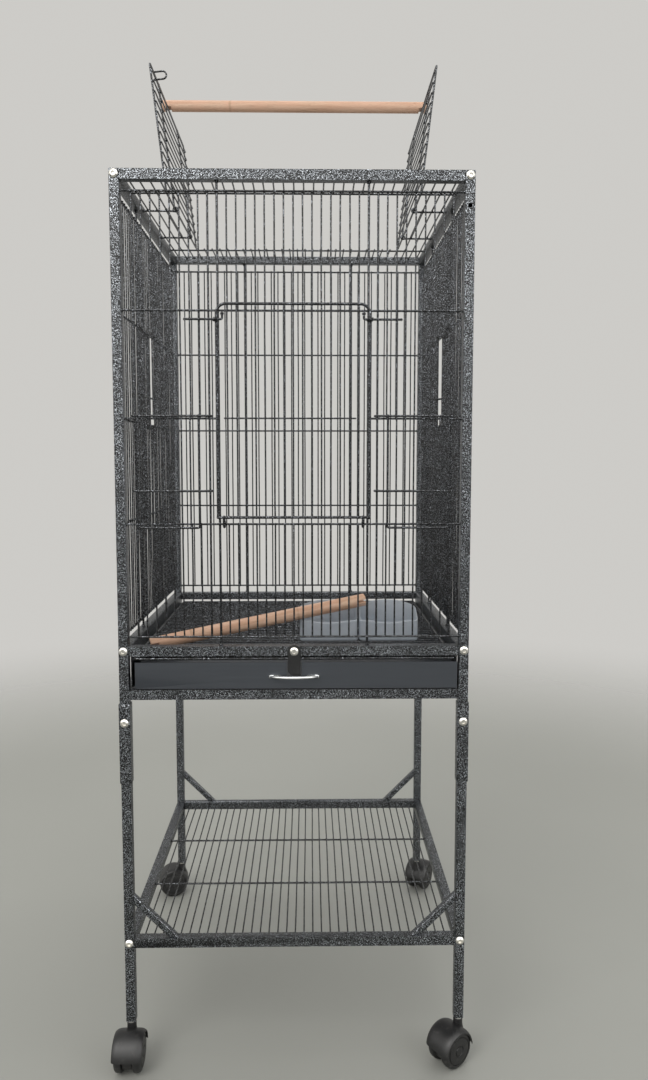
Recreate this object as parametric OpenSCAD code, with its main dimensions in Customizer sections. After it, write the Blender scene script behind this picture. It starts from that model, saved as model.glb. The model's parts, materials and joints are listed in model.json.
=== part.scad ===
// Rolling wire bird cage with an opening roof, a slide-out tray and a shelf stand.
// Millimetres, Z up, front towards -Y, floor at Z = 0, centred on X and Y.

/* [Overall size] */
// Outside width of the cage frame, left to right
cage_w = 460; // [380:1:560]
// Outside depth of the cage frame, front to back
cage_d = 460; // [420:1:560]
// Height of the caged part, from the underside of its floor tubes to its top
box_h = 619; // [510:1:750]
// Height of the lower rails' underside above the floor
stand_h = 507; // [420:1:610]
// Height of the shelf tubes' underside above the floor
shelf_h = 165; // [140:1:200]
// Gap between the lower rails and the floor tubes, where tray and grate slide
drawer_gap = 45; // [42:1:60]

/* [Square tubes] */
// Outside width of the square tubes
tube = 13; // [12:0.5:16]
// Wall thickness of the square tubes
tube_wall = 1; // [0.8:0.1:1.4]
// Wall thickness of the joint sleeves on top of the legs
sleeve_wall = 1.2; // [0.8:0.1:2]
// Length of the joint sleeves
sleeve_len = 107; // [80:1:120]
// Distance a corner brace reaches along the leg and along the shelf
brace_reach = 60; // [40:1:80]
// Outside width of the braces
brace_tube = 9; // [7:0.5:11]

/* [Wires] */
// Spacing of the upright wires
pitch = 12; // [11:0.5:14]
// Spacing of the roof wires
roof_pitch = 13.2; // [12:0.1:15]
// Diameter of the thin wires
thin = 2.2; // [1.8:0.1:2.6]
// Diameter of the cross wires
cross = 2.8; // [2.4:0.1:3.2]
// Diameter of the door frame wire
thick = 3.8; // [3:0.1:4.4]
// Depth that two crossing wires sink into each other where they are welded
weld = 0.3; // [0.2:0.1:0.5]
// Number of wire spacings from the middle to each side of the main door
door_steps = 8; // [6:1:9]

/* [Doors and roof] */
// Height of a door row as a share of the cage height
row_share = 0.22; // [0.19:0.005:0.24]
// Lean of the open roof flaps away from upright, in degrees
flap_lean = 6.7; // [2:0.1:12]
// Half the front to back size of the roof opening
roof_half = 152; // [120:1:180]
// Gap at each end between a roof flap and the cross wires of the opening
flap_gap = 5; // [3:0.5:8]
// Half the distance between the two hinge eyes of a roof flap
eye_half = 72; // [50:1:90]

/* [Tray and grate] */
// Height of the tray's front wall
tray_front_h = 35; // [28:1:38]
// Height of the tray's other walls
tray_side_h = 28; // [18:1:32]
// Thickness of the tray's sheet
tray_sheet = 1; // [0.8:0.1:1.5]
// Sideways play of the tray between the posts, on each side
tray_play = 5; // [3:0.5:8]
// Width of the tray's bow handle
handle_w = 62; // [50:1:80]
// Distance the bow handle stands out
handle_out = 16; // [12:1:24]
// Upward tilt of the bow handle, in degrees
handle_lift = 9; // [0:1:15]

/* [Perches and cups] */
// Diameter of the top perch
perch_d = 16; // [14:0.5:20]
// Diameter of the loose perch on the floor
floor_perch_d = 18; // [15:0.5:19]
// Width of a seed cup
cup_w = 84; // [70:1:86]
// Depth of a seed cup
cup_d = 52; // [46:1:60]
// Height of a seed cup at its front
cup_front_h = 30; // [24:1:31]
// Height of a seed cup at its back
cup_back_h = 52; // [44:1:60]

/* [Casters] */
// Diameter of the caster wheels
wheel_d = 50; // [44:1:52]
// Width of one of a caster's two wheels
wheel_w = 11; // [9:0.5:13]
// Distance from the swivel to the wheel axle, seen from above
trail = 16; // [12:0.5:18]
// Height of the leg ends above the floor
leg_end = 60; // [59:0.5:70]

/* [Fits] */
// Gap between separate moving pieces
clear = 0.3; // [0.2:0.05:0.5]
// Radial gap of pins and wires that turn in eyes
run_gap = 0.08; // [0.03:0.01:0.1]
// Diameter of the bolts
bolt_d = 5; // [4:0.5:6]
// Diameter of the bolt heads
bolt_head = 11; // [9:0.5:12]

/* [Hidden] */
$fn = 32;

in_w = cage_w - 2 * tube;
in_d = cage_d - 2 * tube;
post_x = cage_w / 2 - tube / 2;
post_y = cage_d / 2 - tube / 2;
z_rail = stand_h;
z_tray = z_rail + tube + 1.5;
z_bot = z_rail + tube + drawer_gap;
z_top = z_bot + box_h;
z_mid = (z_bot + z_top) / 2;
row_gap = row_share * box_h;
rows = [z_bot + 25, z_mid - row_gap, z_mid, z_mid + row_gap, z_top - 26];
join_z = stand_h - 57;
sleeve_top = stand_h - 6;
bolt_join_z = stand_h - 31;
side = tube / 2;
hole = tube - 2 * tube_wall;
spare_hole_r = 2.75;

// wire panel planes, measured from the upright wires outwards
thin_r = thin / 2;
cross_r = cross / 2;
thick_r = thick / 2;
row_out = thin_r + cross_r - weld;
slide_r = 1.5;
slide_out = row_out + cross_r + clear + slide_r;
door_out = row_out + cross_r + clear + thick_r;
steps_w = floor((in_w / 2 - 9) / pitch);
steps_d = floor((in_d / 2 - 9) / pitch);
guide_in = door_steps + 1;
side_a = -6;
side_b = 2;
mid_bar = 0.316 * row_gap;
top_bar = row_gap + cross_r + clear + slide_r;

// roof
z_roof = z_top - 4;
roof_steps = floor((in_w / 2 - 4) / roof_pitch);
hinge_step = roof_steps - 3;
hinge_x = hinge_step * roof_pitch;
flap_len = hinge_x - 3;
eye_r = 3.4;
edge_x = hinge_x + flap_len * sin(flap_lean);
edge_z = z_roof + flap_len * cos(flap_lean);
perch_len = 2 * edge_x + 16;
notch_w = 8;
notch_h = 5;
perch_z = edge_z + cross_r + clear - notch_h + perch_d / 2;

// tray, grate and lock tab
ledge = 1.2;
grate_edge = 3.6;
z_ledge = z_bot - 7.2;
z_grate = z_ledge + ledge + clear + grate_edge / 2;
tray_w = in_w - 2 * tray_play;
tray_shift = 3;
tab_w = 17;
tab_t = 1.5;
tab_drop = 24;
tab_gap = 0.2;
z_pivot = z_bot + side;
z_handle = z_tray + 16;
flap_half = roof_half - flap_gap;

// cups and floor perch
z_cup = z_grate + thin_r + clear;
cup_y = -130;
cup_x = 6;
cup_gap = 2;

// the loose perch leans from the grate onto the side walls of the left cup
perch_x0 = -in_w / 2 + 21;
perch_y0 = cup_y - 57;
perch_x1 = cup_x + cup_w + 10;
perch_y1 = cup_y + 28;
perch_low = floor_perch_d / 2 + 0.1;
cup_rake = (cup_back_h - cup_front_h) / cup_d;

perch_run = (perch_y1 - perch_y0) / (perch_x1 - perch_x0);

// height of the cup wall under the perch at x, then the least slope that clears it
function wall_top(x) = cup_front_h + cup_rake * (perch_y0 - cup_y + perch_run * (x - perch_x0));
perch_over = floor_perch_d / 2 * sqrt(1 + cup_rake * cup_rake) + 2 * clear;
function perch_slope(x) = (wall_top(x) + perch_over - perch_low) / (x - perch_x0);
perch_climb = max(perch_slope(cup_x), perch_slope(cup_x + cup_w));
perch_a = [perch_x0, perch_y0, z_cup + perch_low];
perch_b = [perch_x1, perch_y1, z_cup + perch_low + perch_climb * (perch_x1 - perch_x0)];

wheel_r = wheel_d / 2;
web = 14;
stem_r = 4;
axle_r = 3;
hood_in = wheel_r + 1;
hood_out = hood_in + 1.6;

paint = [0.12, 0.12, 0.13];
wire_paint = [0.08, 0.08, 0.085];
steel = [0.75, 0.74, 0.7];
plastic = [0.06, 0.06, 0.065];
timber = [0.82, 0.62, 0.45];
clear_plastic = [0.6, 0.65, 0.7];

// ---- helpers ----

module rod_x(x0, x1, y, z, r) {
  translate([x0, y, z])
    rotate([0, 90, 0])
      cylinder(h = x1 - x0, r = r);
}

module rod_y(y0, y1, x, z, r) {
  translate([x, y0, z])
    rotate([-90, 0, 0])
      cylinder(h = y1 - y0, r = r);
}

module rod_z(z0, z1, x, y, r) {
  translate([x, y, z0])
    cylinder(h = z1 - z0, r = r);
}

module rod(a, b, r) {
  d = b - a;
  len = norm(d);
  translate(a)
    rotate([0, acos(d[2] / len), atan2(d[1], d[0])])
      cylinder(h = len, r = r);
}

module tube_x(x0, x1, y, z) {
  difference() {
    translate([x0, y - side, z - side])
      cube([x1 - x0, tube, tube]);
    translate([x0 - 1, y - hole / 2, z - hole / 2])
      cube([x1 - x0 + 2, hole, hole]);
  }
}

module tube_y(y0, y1, x, z) {
  difference() {
    translate([x - side, y0, z - side])
      cube([tube, y1 - y0, tube]);
    translate([x - hole / 2, y0 - 1, z - hole / 2])
      cube([hole, y1 - y0 + 2, hole]);
  }
}

module four_corners() {
  for (sx = [-1, 1])
    for (sy = [-1, 1])
      translate([sx * post_x, sy * post_y, 0])
        children();
}

// a bolt hole through a post, front to back
module bolt_hole(x, y, z) {
  rod_y(y - 2 * tube, y + 2 * tube, x, z, bolt_d / 2 + 0.2);
}

// a bolt whose head faces the front, seated on the plane y = 0
module bolt(grip) {
  difference() {
    union() {
      rotate([90, 0, 0])
        cylinder(h = 1.2, d = bolt_head);
      translate([0, -1.2, 0])
        rotate([90, 0, 0])
          cylinder(h = 1.8, d1 = bolt_head, d2 = bolt_head * 0.62);
      rotate([-90, 0, 0])
        cylinder(h = grip, d = bolt_d);
    }
    translate([0, -1, 0])
      rotate([90, 0, 0])
        cylinder(h = 3, d = bolt_d * 1.04, $fn = 6);
  }
}

// ---- cage frame ----

module post(sx, sy) {
  y0 = sy * post_y;
  color(paint)
    difference() {
      translate([sx * post_x - side, y0 - side, join_z])
        cube([tube, tube, z_top - join_z]);
      translate([sx * post_x - hole / 2, y0 - hole / 2, join_z - 1])
        cube([hole, hole, z_top - join_z]);
      bolt_hole(sx * post_x, y0, z_top - side);
      bolt_hole(sx * post_x, y0, z_bot + side);
      bolt_hole(sx * post_x, y0, bolt_join_z);
      if (sx > 0 && sy < 0)
        rod_y(y0 - tube, y0, sx * post_x, z_top - 43, spare_hole_r);
    }
}

module post_front_left() {
  post(-1, -1);
}

module post_front_right() {
  post(1, -1);
}

module post_back_left() {
  post(-1, 1);
}

module post_back_right() {
  post(1, 1);
}

module front_tubes() {
  color(paint) {
    tube_x(-in_w / 2, in_w / 2, -post_y, z_top - side);
    tube_x(-in_w / 2, in_w / 2, -post_y, z_rail + side);
    difference() {
      tube_x(-in_w / 2, in_w / 2, -post_y, z_bot + side);
      bolt_hole(0, -post_y, z_pivot);
    }
  }
}

module back_tubes() {
  color(paint)
    for (z = [z_top, z_bot + tube, z_rail + tube])
      tube_x(-in_w / 2, in_w / 2, post_y, z - side);
}

module side_tubes(sx) {
  color(paint)
    for (z = [z_top, z_bot + tube, z_rail + tube])
      tube_y(-in_d / 2, in_d / 2, sx * post_x, z - side);
}

module left_tubes() {
  side_tubes(-1);
}

module right_tubes() {
  side_tubes(1);
}

module cage_bolts() {
  color(steel) {
    for (sy = [-1, 1])
      for (sx = [-1, 1])
        for (z = [z_top - side, z_bot + side])
          translate([sx * post_x, sy * cage_d / 2, z])
            rotate([0, 0, sy > 0 ? 180 : 0])
              bolt(tube + 10);
    translate([0, -cage_d / 2 - tab_t - 2 * tab_gap, z_pivot])
      bolt(tube + 4);
  }
}

// ---- wire panels: x across, z up, outside towards -y ----

// true where step k lies inside an opening [k0, k1, low row, high row]
function inside(k, o) = k > o[0] && k < o[1];

module upright(k, openings, r) {
  hit = [for (o = openings) if (inside(k, o)) o];
  if (len(hit) == 0) {
    rod_z(rows[0] - 1, rows[4] + 1, k * pitch, 0, r);
  }
  if (len(hit) > 0) {
    rod_z(rows[0] - 1, rows[hit[0][2]] + 1, k * pitch, 0, r);
    rod_z(rows[hit[0][3]] - 1, rows[4] + 1, k * pitch, 0, r);
  }
}

module panel(steps, reach, openings, guides, split) {
  for (k = [-steps:steps])
    if (abs(k) != door_steps)
      upright(k, openings, len(search(k, guides)) > 0 ? cross_r : thin_r);
  for (s = [-1, 1])
    rod_z(z_bot + tube, z_top - tube, s * door_steps * pitch, 0, 1.6);
  for (i = [0, 1, 3, 4])
    rod_x(-reach, reach, -row_out, rows[i], cross_r);
  if (split)
    for (s = [-1, 1])
      rod_x(s > 0 ? door_steps * pitch - 1 : -reach, s > 0 ? reach : -door_steps * pitch + 1,
            -row_out, rows[2], cross_r);
  else
    rod_x(-reach, reach, -row_out, rows[2], cross_r);
}

front_openings = [
  [-door_steps, door_steps, 1, 3],
  [-steps_w, -guide_in, 1, 2],
  [guide_in, steps_w, 1, 2]
];

module front_grille() {
  color(wire_paint)
    translate([0, -post_y, 0])
      panel(steps_w, in_w / 2, front_openings, [-steps_w, -guide_in, guide_in, steps_w], true);
}

module back_grille() {
  color(wire_paint)
    translate([0, post_y, 0])
      rotate([0, 0, 180])
        panel(steps_w, in_w / 2, [], [], false);
}

module right_grille() {
  color(wire_paint)
    translate([post_x, 0, 0])
      rotate([0, 0, 90])
        panel(steps_d, in_d / 2, [[side_a, side_b, 2, 3]], [side_a, side_b], false);
}

module left_grille() {
  color(wire_paint)
    translate([-post_x, 0, 0])
      rotate([0, 0, -90])
        panel(steps_d, in_d / 2, [[-side_b, -side_a, 2, 3]], [-side_b, -side_a], false);
}

// ---- sliding wire door: guide wires at x = 0 and x = span, z = 0 on the lower row ----

module slide_door(span, flip) {
  wide = span - pitch - 1.4 - 4.3;
  left = flip ? span - 4.3 - wide : 4.3;
  count = floor(wide / pitch);
  gap = wide / (count + 1);
  translate([0, -slide_out, 0]) {
    for (x = [left, left + wide])
      rod_z(-6, top_bar + slide_r, x, 0, slide_r);
    rod_x(left, left + wide, 0, -6 + slide_r, slide_r);
    rod_x(0, span, 0, mid_bar, slide_r);
    rod_x(0, span, 0, top_bar, slide_r);
    for (i = [1:count])
      rod_z(-5, top_bar, left + i * gap, 0, thin_r);
  }
  for (x = [0, span])
    for (z = [mid_bar, top_bar])
      difference() {
        rod_z(z - slide_r, z + slide_r, x, 0, 4.4);
        rod_z(z - 5, z + 5, x, 0, cross_r + run_gap);
      }
}

module feeder_door_right() {
  color(wire_paint)
    translate([guide_in * pitch, -post_y, rows[1]])
      slide_door((steps_w - guide_in) * pitch, true);
}

module feeder_door_left() {
  color(wire_paint)
    translate([-steps_w * pitch, -post_y, rows[1]])
      slide_door((steps_w - guide_in) * pitch, false);
}

module side_door_right() {
  color(wire_paint)
    translate([post_x, 0, rows[2]])
      rotate([0, 0, 90])
        translate([side_a * pitch, 0, 0])
          slide_door((side_b - side_a) * pitch, false);
}

module side_door_left() {
  color(wire_paint)
    translate([-post_x, 0, rows[2]])
      rotate([0, 0, -90])
        translate([-side_b * pitch, 0, 0])
          slide_door((side_b - side_a) * pitch, true);
}

// ---- main drop-down door ----

door_x = door_steps * pitch + 1.5;
door_lift = 9;
door_low = rows[1] + door_lift;
door_high = rows[3] + 8;
bend = 12;
y_door = -post_y - door_out;
hinge_y = -post_y - row_out;
knuckle_x = (door_steps - 0.5) * pitch;
latch_z = rows[3] - 12;
latch_r = 1.5;
y_latch = y_door - thick_r - clear - latch_r;
latch_out = 40;

module main_door() {
  color(wire_paint) {
    for (s = [-1, 1]) {
      rod_z(door_low, door_high - bend, s * door_x, y_door, thick_r);
      translate([s * (door_x - bend), y_door, door_high - bend])
        rotate([90, 0, 0])
          rotate([0, 0, s > 0 ? 0 : 90])
            rotate_extrude(angle = 90, $fn = 48)
              translate([bend, 0])
                circle(r = thick_r);
      // corner ball where side and lower bar meet
      translate([s * door_x, y_door, door_low])
        sphere(r = thick_r);
      rod_z(rows[1], door_low, s * knuckle_x, y_door, thick_r);
      difference() {
        rod_x(s * knuckle_x - 3.5, s * knuckle_x + 3.5, hinge_y, rows[1], 3.6);
        rod_x(s * knuckle_x - 5, s * knuckle_x + 5, hinge_y, rows[1], cross_r + run_gap);
      }
      // guide eye of the latch
      difference() {
        rod_x(s * door_x - 5, s * door_x + 5, y_latch, latch_z, 3);
        rod_x(s * door_x - 6, s * door_x + 6, y_latch, latch_z, latch_r + run_gap);
      }
    }
    rod_x(-door_x, door_x, y_door, door_low, thick_r);
    rod_x(-door_x + bend, door_x - bend, y_door, door_high, thick_r);
    for (k = [-door_steps + 1:door_steps - 1])
      rod_z(door_low, door_high, k * pitch, y_door, thin_r);
    rod_x(-door_x + 9, door_x - 17, y_door - 2 * thin_r + weld, rows[2], thin_r);
  }
}

module door_latch(s) {
  x_in = door_x - 8;
  color(wire_paint) {
    rod_x(s > 0 ? x_in : -door_x - latch_out, s > 0 ? door_x + latch_out : -x_in,
          y_latch, latch_z, latch_r);
    rod_z(latch_z, latch_z + 7, s * (x_in + 0.2), y_latch, latch_r);
    translate([s * (x_in + 0.2), y_latch, latch_z + 7])
      sphere(r = 2.4);
  }
}

module door_latch_left() {
  door_latch(-1);
}

module door_latch_right() {
  door_latch(1);
}

// ---- roof ----

module roof_grille() {
  under = z_roof - row_out;
  color(wire_paint) {
    for (k = [-roof_steps:roof_steps]) {
      if (abs(k) > hinge_step) {
        rod_y(-in_d / 2, in_d / 2, k * roof_pitch, z_roof, thin_r);
      }
      if (abs(k) <= hinge_step) {
        rod_y(-in_d / 2, -roof_half + 1, k * roof_pitch, z_roof, thin_r);
        rod_y(roof_half - 1, in_d / 2, k * roof_pitch, z_roof, thin_r);
      }
    }
    for (s = [-1, 1]) {
      rod_x(-in_w / 2, in_w / 2, s * roof_half, under, cross_r);
      rod_y(-eye_half, eye_half, s * (hinge_step + 1) * roof_pitch, z_roof, 1.9);
      for (t = [-1, 1]) {
        rod_x(s > 0 ? hinge_x + 2.2 : -in_w / 2, s > 0 ? in_w / 2 : -hinge_x - 2.2,
              t * eye_half, under, cross_r);
        difference() {
          rod_y(t * eye_half - 2.5, t * eye_half + 2.5, s * hinge_x, z_roof, eye_r);
          rod_y(t * eye_half - 4, t * eye_half + 4, s * hinge_x, z_roof, cross_r + run_gap);
        }
      }
    }
  }
}

// a flap standing straight up from its hinge wire, its inner side towards +x
module flap() {
  for (z = [0, flap_len])
    rod_y(-flap_half, flap_half, 0, z, cross_r);
  for (y = [-flap_half, -eye_half - 10, eye_half + 10, flap_half])
    rod_z(0, flap_len, 0, y, cross_r);
  for (z = [0, flap_len])
    for (y = [-flap_half, flap_half])
      translate([0, y, z])
        sphere(r = cross_r);
  for (i = [1:hinge_step - 1])
    rod_y(-flap_half, flap_half, row_out, i * roof_pitch, thin_r);
}

hook_low = (hinge_step - 1) * roof_pitch;
hook_y = -flap_half + 27;

// flat wire loop on the free edge of the left flap
module flap_hook() {
  mid = (flap_len + hook_low) / 2;
  half = (flap_len - hook_low) / 2;
  for (z = [hook_low, flap_len])
    rod_x(0, 12, hook_y, z, 1.2);
  translate([12, hook_y, mid])
    rotate([90, 0, 0])
      rotate([0, 0, -90])
        rotate_extrude(angle = 180, $fn = 48)
          translate([half, 0])
            circle(r = 1.2);
}

module roof_flap_left() {
  color(wire_paint)
    translate([-hinge_x, 0, z_roof])
      rotate([0, -flap_lean, 0]) {
        flap();
        flap_hook();
      }
}

module roof_flap_right() {
  color(wire_paint)
    translate([hinge_x, 0, z_roof])
      rotate([0, flap_lean, 0])
        mirror([1, 0, 0])
          flap();
}

module top_perch() {
  color(timber)
    difference() {
      rod_x(-perch_len / 2, perch_len / 2, 0, perch_z, perch_d / 2);
      for (s = [-1, 1])
        translate([s * (edge_x - 1.5) - notch_w / 2, -perch_d, perch_z - perch_d / 2 - 1])
          cube([notch_w, 2 * perch_d, notch_h + 1]);
    }
}

// ---- tray, grate, lock tab ----

module runner(s) {
  x_face = in_w / 2;
  color(paint)
    translate([0, -in_d / 2 + 2, 0])
      for (lx = [[ledge, z_rail + 1, z_bot + tube - 1], [13, z_tray - clear - ledge, z_tray - clear],
                 [13, z_ledge, z_ledge + ledge]])
        translate([s > 0 ? x_face - lx[0] : -x_face, 0, lx[1]])
          cube([lx[0], in_d - 4, lx[2] - lx[1]]);
}

module runner_left() {
  runner(-1);
}

module runner_right() {
  runner(1);
}

module tray() {
  y0 = -cage_d / 2 + 0.5;
  y1 = in_d / 2 - 5;
  x0 = -tray_w / 2 + tray_shift;
  s = tray_sheet;
  notch = tab_w + 3;
  color(paint)
    difference() {
      union() {
        translate([x0, y0, z_tray])
          cube([tray_w, y1 - y0, s]);
        translate([x0, y0, z_tray])
          cube([s, y1 - y0, tray_side_h]);
        translate([x0 + tray_w - s, y0, z_tray])
          cube([s, y1 - y0, tray_side_h]);
        translate([x0, y1 - s, z_tray])
          cube([tray_w, s, tray_side_h]);
        translate([x0, y0, z_tray])
          cube([tray_w, s, tray_front_h]);
      }
      // clearance for the hanging lock tab
      translate([-notch / 2, y0 - 1, z_pivot - tab_drop - tab_w / 2 - 1.5])
        cube([notch, s + 2, 100]);
      for (t = [-1, 1])
        rod_y(y0 - 1, y0 + 3, t * (handle_w / 2 + 0.7), z_handle, 1.6);
    }
}

module tray_handle() {
  y0 = -cage_d / 2 + 0.5;
  half = handle_w / 2;
  big = (half * half + handle_out * handle_out) / (2 * handle_out);
  turn = asin(half / big);
  color(steel) {
    translate([0, y0 - 1.2, z_handle])
      rotate([-handle_lift, 0, 0])
        translate([0, big - handle_out, 0])
          rotate([0, 0, -90 - turn])
            rotate_extrude(angle = 2 * turn, $fn = 96)
              translate([big, 0])
                circle(r = 1.7);
    for (t = [-1, 1]) {
      // flat oval end with its rivet
      hull() {
        rod_y(y0 - 1.4, y0, t * (half - 12), z_handle, 2.2);
        rod_y(y0 - 1.4, y0, t * (half + 0.7), z_handle, 2.2);
      }
      rod_y(y0 - 2.2, y0 + 2.2, t * (half + 0.7), z_handle, 1.55);
    }
  }
}

module floor_grille() {
  e = grate_edge / 2;
  x1 = in_w / 2 - 6;
  y0 = -cage_d / 2 + 3.2;
  y1 = in_d / 2 - 5;
  count = floor((y1 - y0) / pitch);
  color(wire_paint) {
    for (s = [-1, 1])
      rod_y(y0, y1, s * x1, z_grate, e);
    for (y = [y0, y1])
      rod_x(-x1, x1, y, z_grate, e);
    for (s = [-1, 1])
      for (y = [y0, y1])
        translate([s * x1, y, z_grate])
          sphere(r = e);
    for (i = [1:count - 1])
      rod_x(-x1, x1, y0 + i * (y1 - y0) / count, z_grate, thin_r);
    rod_y(y0, y1, 0, z_grate - 2 * thin_r + weld, thin_r);
  }
}

module lock_tab() {
  r = tab_w / 2;
  color(plastic)
    translate([0, -cage_d / 2 - tab_gap, z_pivot])
      rotate([90, 0, 0])
        linear_extrude(height = tab_t)
          difference() {
            union() {
              circle(r = r);
              translate([-r, -tab_drop])
                square([tab_w, tab_drop]);
              translate([0, -tab_drop])
                circle(r = r);
              translate([0, -tab_drop - r])
                square([r, r]);
            }
            circle(r = bolt_d / 2 + run_gap);
          }
}

// ---- stand ----

module leg(sx, sy) {
  color(paint)
    translate([sx * post_x, sy * post_y, 0])
      difference() {
        union() {
          translate([-side, -side, leg_end])
            cube([tube, tube, join_z - leg_end]);
          translate([-side - sleeve_wall, -side - sleeve_wall, sleeve_top - sleeve_len])
            cube([tube + 2 * sleeve_wall, tube + 2 * sleeve_wall, sleeve_len]);
        }
        translate([-hole / 2, -hole / 2, leg_end - 1])
          cube([hole, hole, sleeve_top - leg_end + 2]);
        translate([-side - 0.05, -side - 0.05, join_z])
          cube([tube + 0.1, tube + 0.1, sleeve_top - join_z + 1]);
        bolt_hole(0, 0, bolt_join_z);
        bolt_hole(0, 0, shelf_h + side);
      }
}

module leg_front_left() {
  leg(-1, -1);
}

module leg_front_right() {
  leg(1, -1);
}

module leg_back_left() {
  leg(-1, 1);
}

module leg_back_right() {
  leg(1, 1);
}

module shelf_tubes() {
  color(paint)
    for (s = [-1, 1]) {
      tube_x(-in_w / 2, in_w / 2, s * post_y, shelf_h + side);
      tube_y(-in_d / 2, in_d / 2, s * post_x, shelf_h + side);
    }
}

module shelf_grille() {
  z = shelf_h + tube - 4;
  count = floor(in_w / pitch);
  color(wire_paint) {
    for (i = [1:count - 1])
      rod_y(-in_d / 2, in_d / 2, -in_w / 2 + i * in_w / count, z, thin_r);
    for (y = [-in_d / 6, in_d / 6])
      rod_x(-in_w / 2, in_w / 2, y, z - row_out, cross_r);
  }
}

module shelf_braces() {
  b = brace_tube;
  low = shelf_h + tube;
  face = in_w / 2;
  color(paint)
    for (sx = [-1, 1])
      for (sy = [-1, 1])
        translate([0, sy * post_y + b / 2, 0])
          rotate([90, 0, 0])
            linear_extrude(height = b)
              polygon([
                [sx * face, low + brace_reach],
                [sx * face, low + brace_reach - b * 1.414],
                [sx * (face - brace_reach + b * 1.414), low],
                [sx * (face - brace_reach), low]
              ]);
}

module stand_bolts() {
  color(steel)
    for (sy = [-1, 1])
      for (sx = [-1, 1]) {
        translate([sx * post_x, sy * (cage_d / 2 + sleeve_wall), bolt_join_z])
          rotate([0, 0, sy > 0 ? 180 : 0])
            bolt(tube + 2 * sleeve_wall + 2);
        translate([sx * post_x, sy * cage_d / 2, shelf_h + side])
          rotate([0, 0, sy > 0 ? 180 : 0])
            bolt(tube + 10);
      }
}

module leg_plugs() {
  color(plastic)
    four_corners()
      difference() {
        translate([-hole / 2, -hole / 2, leg_end + 1])
          cube([hole, hole, 30]);
        rod_z(leg_end - 1, leg_end + 40, 0, 0, stem_r + run_gap);
      }
}

module caster_washers() {
  color(steel)
    four_corners()
      difference() {
        rod_z(leg_end - 1.2, leg_end, 0, 0, side);
        rod_z(leg_end - 5, leg_end + 5, 0, 0, stem_r + run_gap);
      }
}

// ---- casters: swivel about z at the origin, axle along x ----

module caster() {
  neck_top = leg_end - 1.2 - clear;
  color(plastic) {
    difference() {
      union() {
        translate([-web / 2, -trail, wheel_r])
          rotate([90, 0, 90])
            linear_extrude(height = web)
              union() {
                circle(r = wheel_r - 4);
                intersection() {
                  circle(r = hood_out - 0.8);
                  translate([-60, 0])
                    square([120, 60]);
                }
              }
        translate([-web / 2 - wheel_w - 2, -trail, wheel_r])
          rotate([90, 0, 90])
            linear_extrude(height = web + 2 * wheel_w + 4)
              intersection() {
                difference() {
                  circle(r = hood_out);
                  circle(r = hood_in);
                }
                translate([-60, 3])
                  square([120, 60]);
              }
        rod_z(wheel_r + 10, neck_top, 0, 0, 6.3);
        rod_z(wheel_r + 10, leg_end + 28, 0, 0, stem_r);
      }
      rod_x(-web, web, -trail, wheel_r, axle_r + run_gap);
    }
  }
}

module wheels() {
  color(plastic)
    translate([0, -trail, wheel_r]) {
      rod_x(-web / 2 - wheel_w, web / 2 + wheel_w, 0, 0, axle_r);
      for (s = [-1, 1])
        translate([s * (web / 2 + 0.6), 0, 0])
          rotate([0, 90 * s, 0])
            rotate_extrude($fn = 64)
              polygon([
                [0, 0], [wheel_r - 1, 0], [wheel_r, 1],
                [wheel_r, wheel_w - 3], [wheel_r - 1.2, wheel_w - 1.2], [wheel_r - 4, wheel_w],
                [wheel_r - 5.5, wheel_w - 1.2], [7, wheel_w - 1.2], [6, wheel_w], [0, wheel_w]
              ]);
    }
}

turn_front_left = 0;
turn_front_right = -53;
turn_back_left = -80;
turn_back_right = 150;

module place(sx, sy, turn) {
  translate([sx * post_x, sy * post_y, 0])
    rotate([0, 0, turn])
      children();
}

module caster_front_left() {
  place(-1, -1, turn_front_left)
    caster();
}

module caster_front_right() {
  place(1, -1, turn_front_right)
    caster();
}

module caster_back_left() {
  place(-1, 1, turn_back_left)
    caster();
}

module caster_back_right() {
  place(1, 1, turn_back_right)
    caster();
}

module wheels_front_left() {
  place(-1, -1, turn_front_left)
    wheels();
}

module wheels_front_right() {
  place(1, -1, turn_front_right)
    wheels();
}

module wheels_back_left() {
  place(-1, 1, turn_back_left)
    wheels();
}

module wheels_back_right() {
  place(1, 1, turn_back_right)
    wheels();
}

// ---- cups and loose perch ----

module cup_side(inset) {
  polygon([
    [inset, inset], [cup_d - inset, inset],
    [cup_d - inset, inset > 0 ? 200 : cup_back_h], [inset, inset > 0 ? 200 : cup_front_h]
  ]);
}

module cup() {
  t = 1.5;
  dip = 95;
  color(clear_plastic)
    difference() {
      intersection() {
        rotate([90, 0, 90])
          linear_extrude(height = cup_w)
            cup_side(0);
        rod_y(-1, cup_d + 1, cup_w / 2, cup_back_h - 100, 100);
      }
      translate([t, 0, 0])
        rotate([90, 0, 90])
          linear_extrude(height = cup_w - 2 * t)
            cup_side(t);
      // sagging front rim
      rod_y(-1, t + 1, cup_w / 2, cup_front_h + dip - 4, dip);
    }
}

module cup_left() {
  translate([cup_x, cup_y, z_cup])
    cup();
}

module cup_right() {
  translate([cup_x + cup_w + cup_gap, cup_y, z_cup])
    cup();
}

module floor_perch() {
  d = perch_b - perch_a;
  len = norm(d);
  color(timber)
    translate(perch_a)
      rotate([0, acos(d[2] / len), atan2(d[1], d[0])])
        difference() {
          cylinder(h = len, r = floor_perch_d / 2);
          for (z = [-1, len - 11])
            translate([-1.5, -30, z])
              cube([3, 60, 12]);
        }
}

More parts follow.
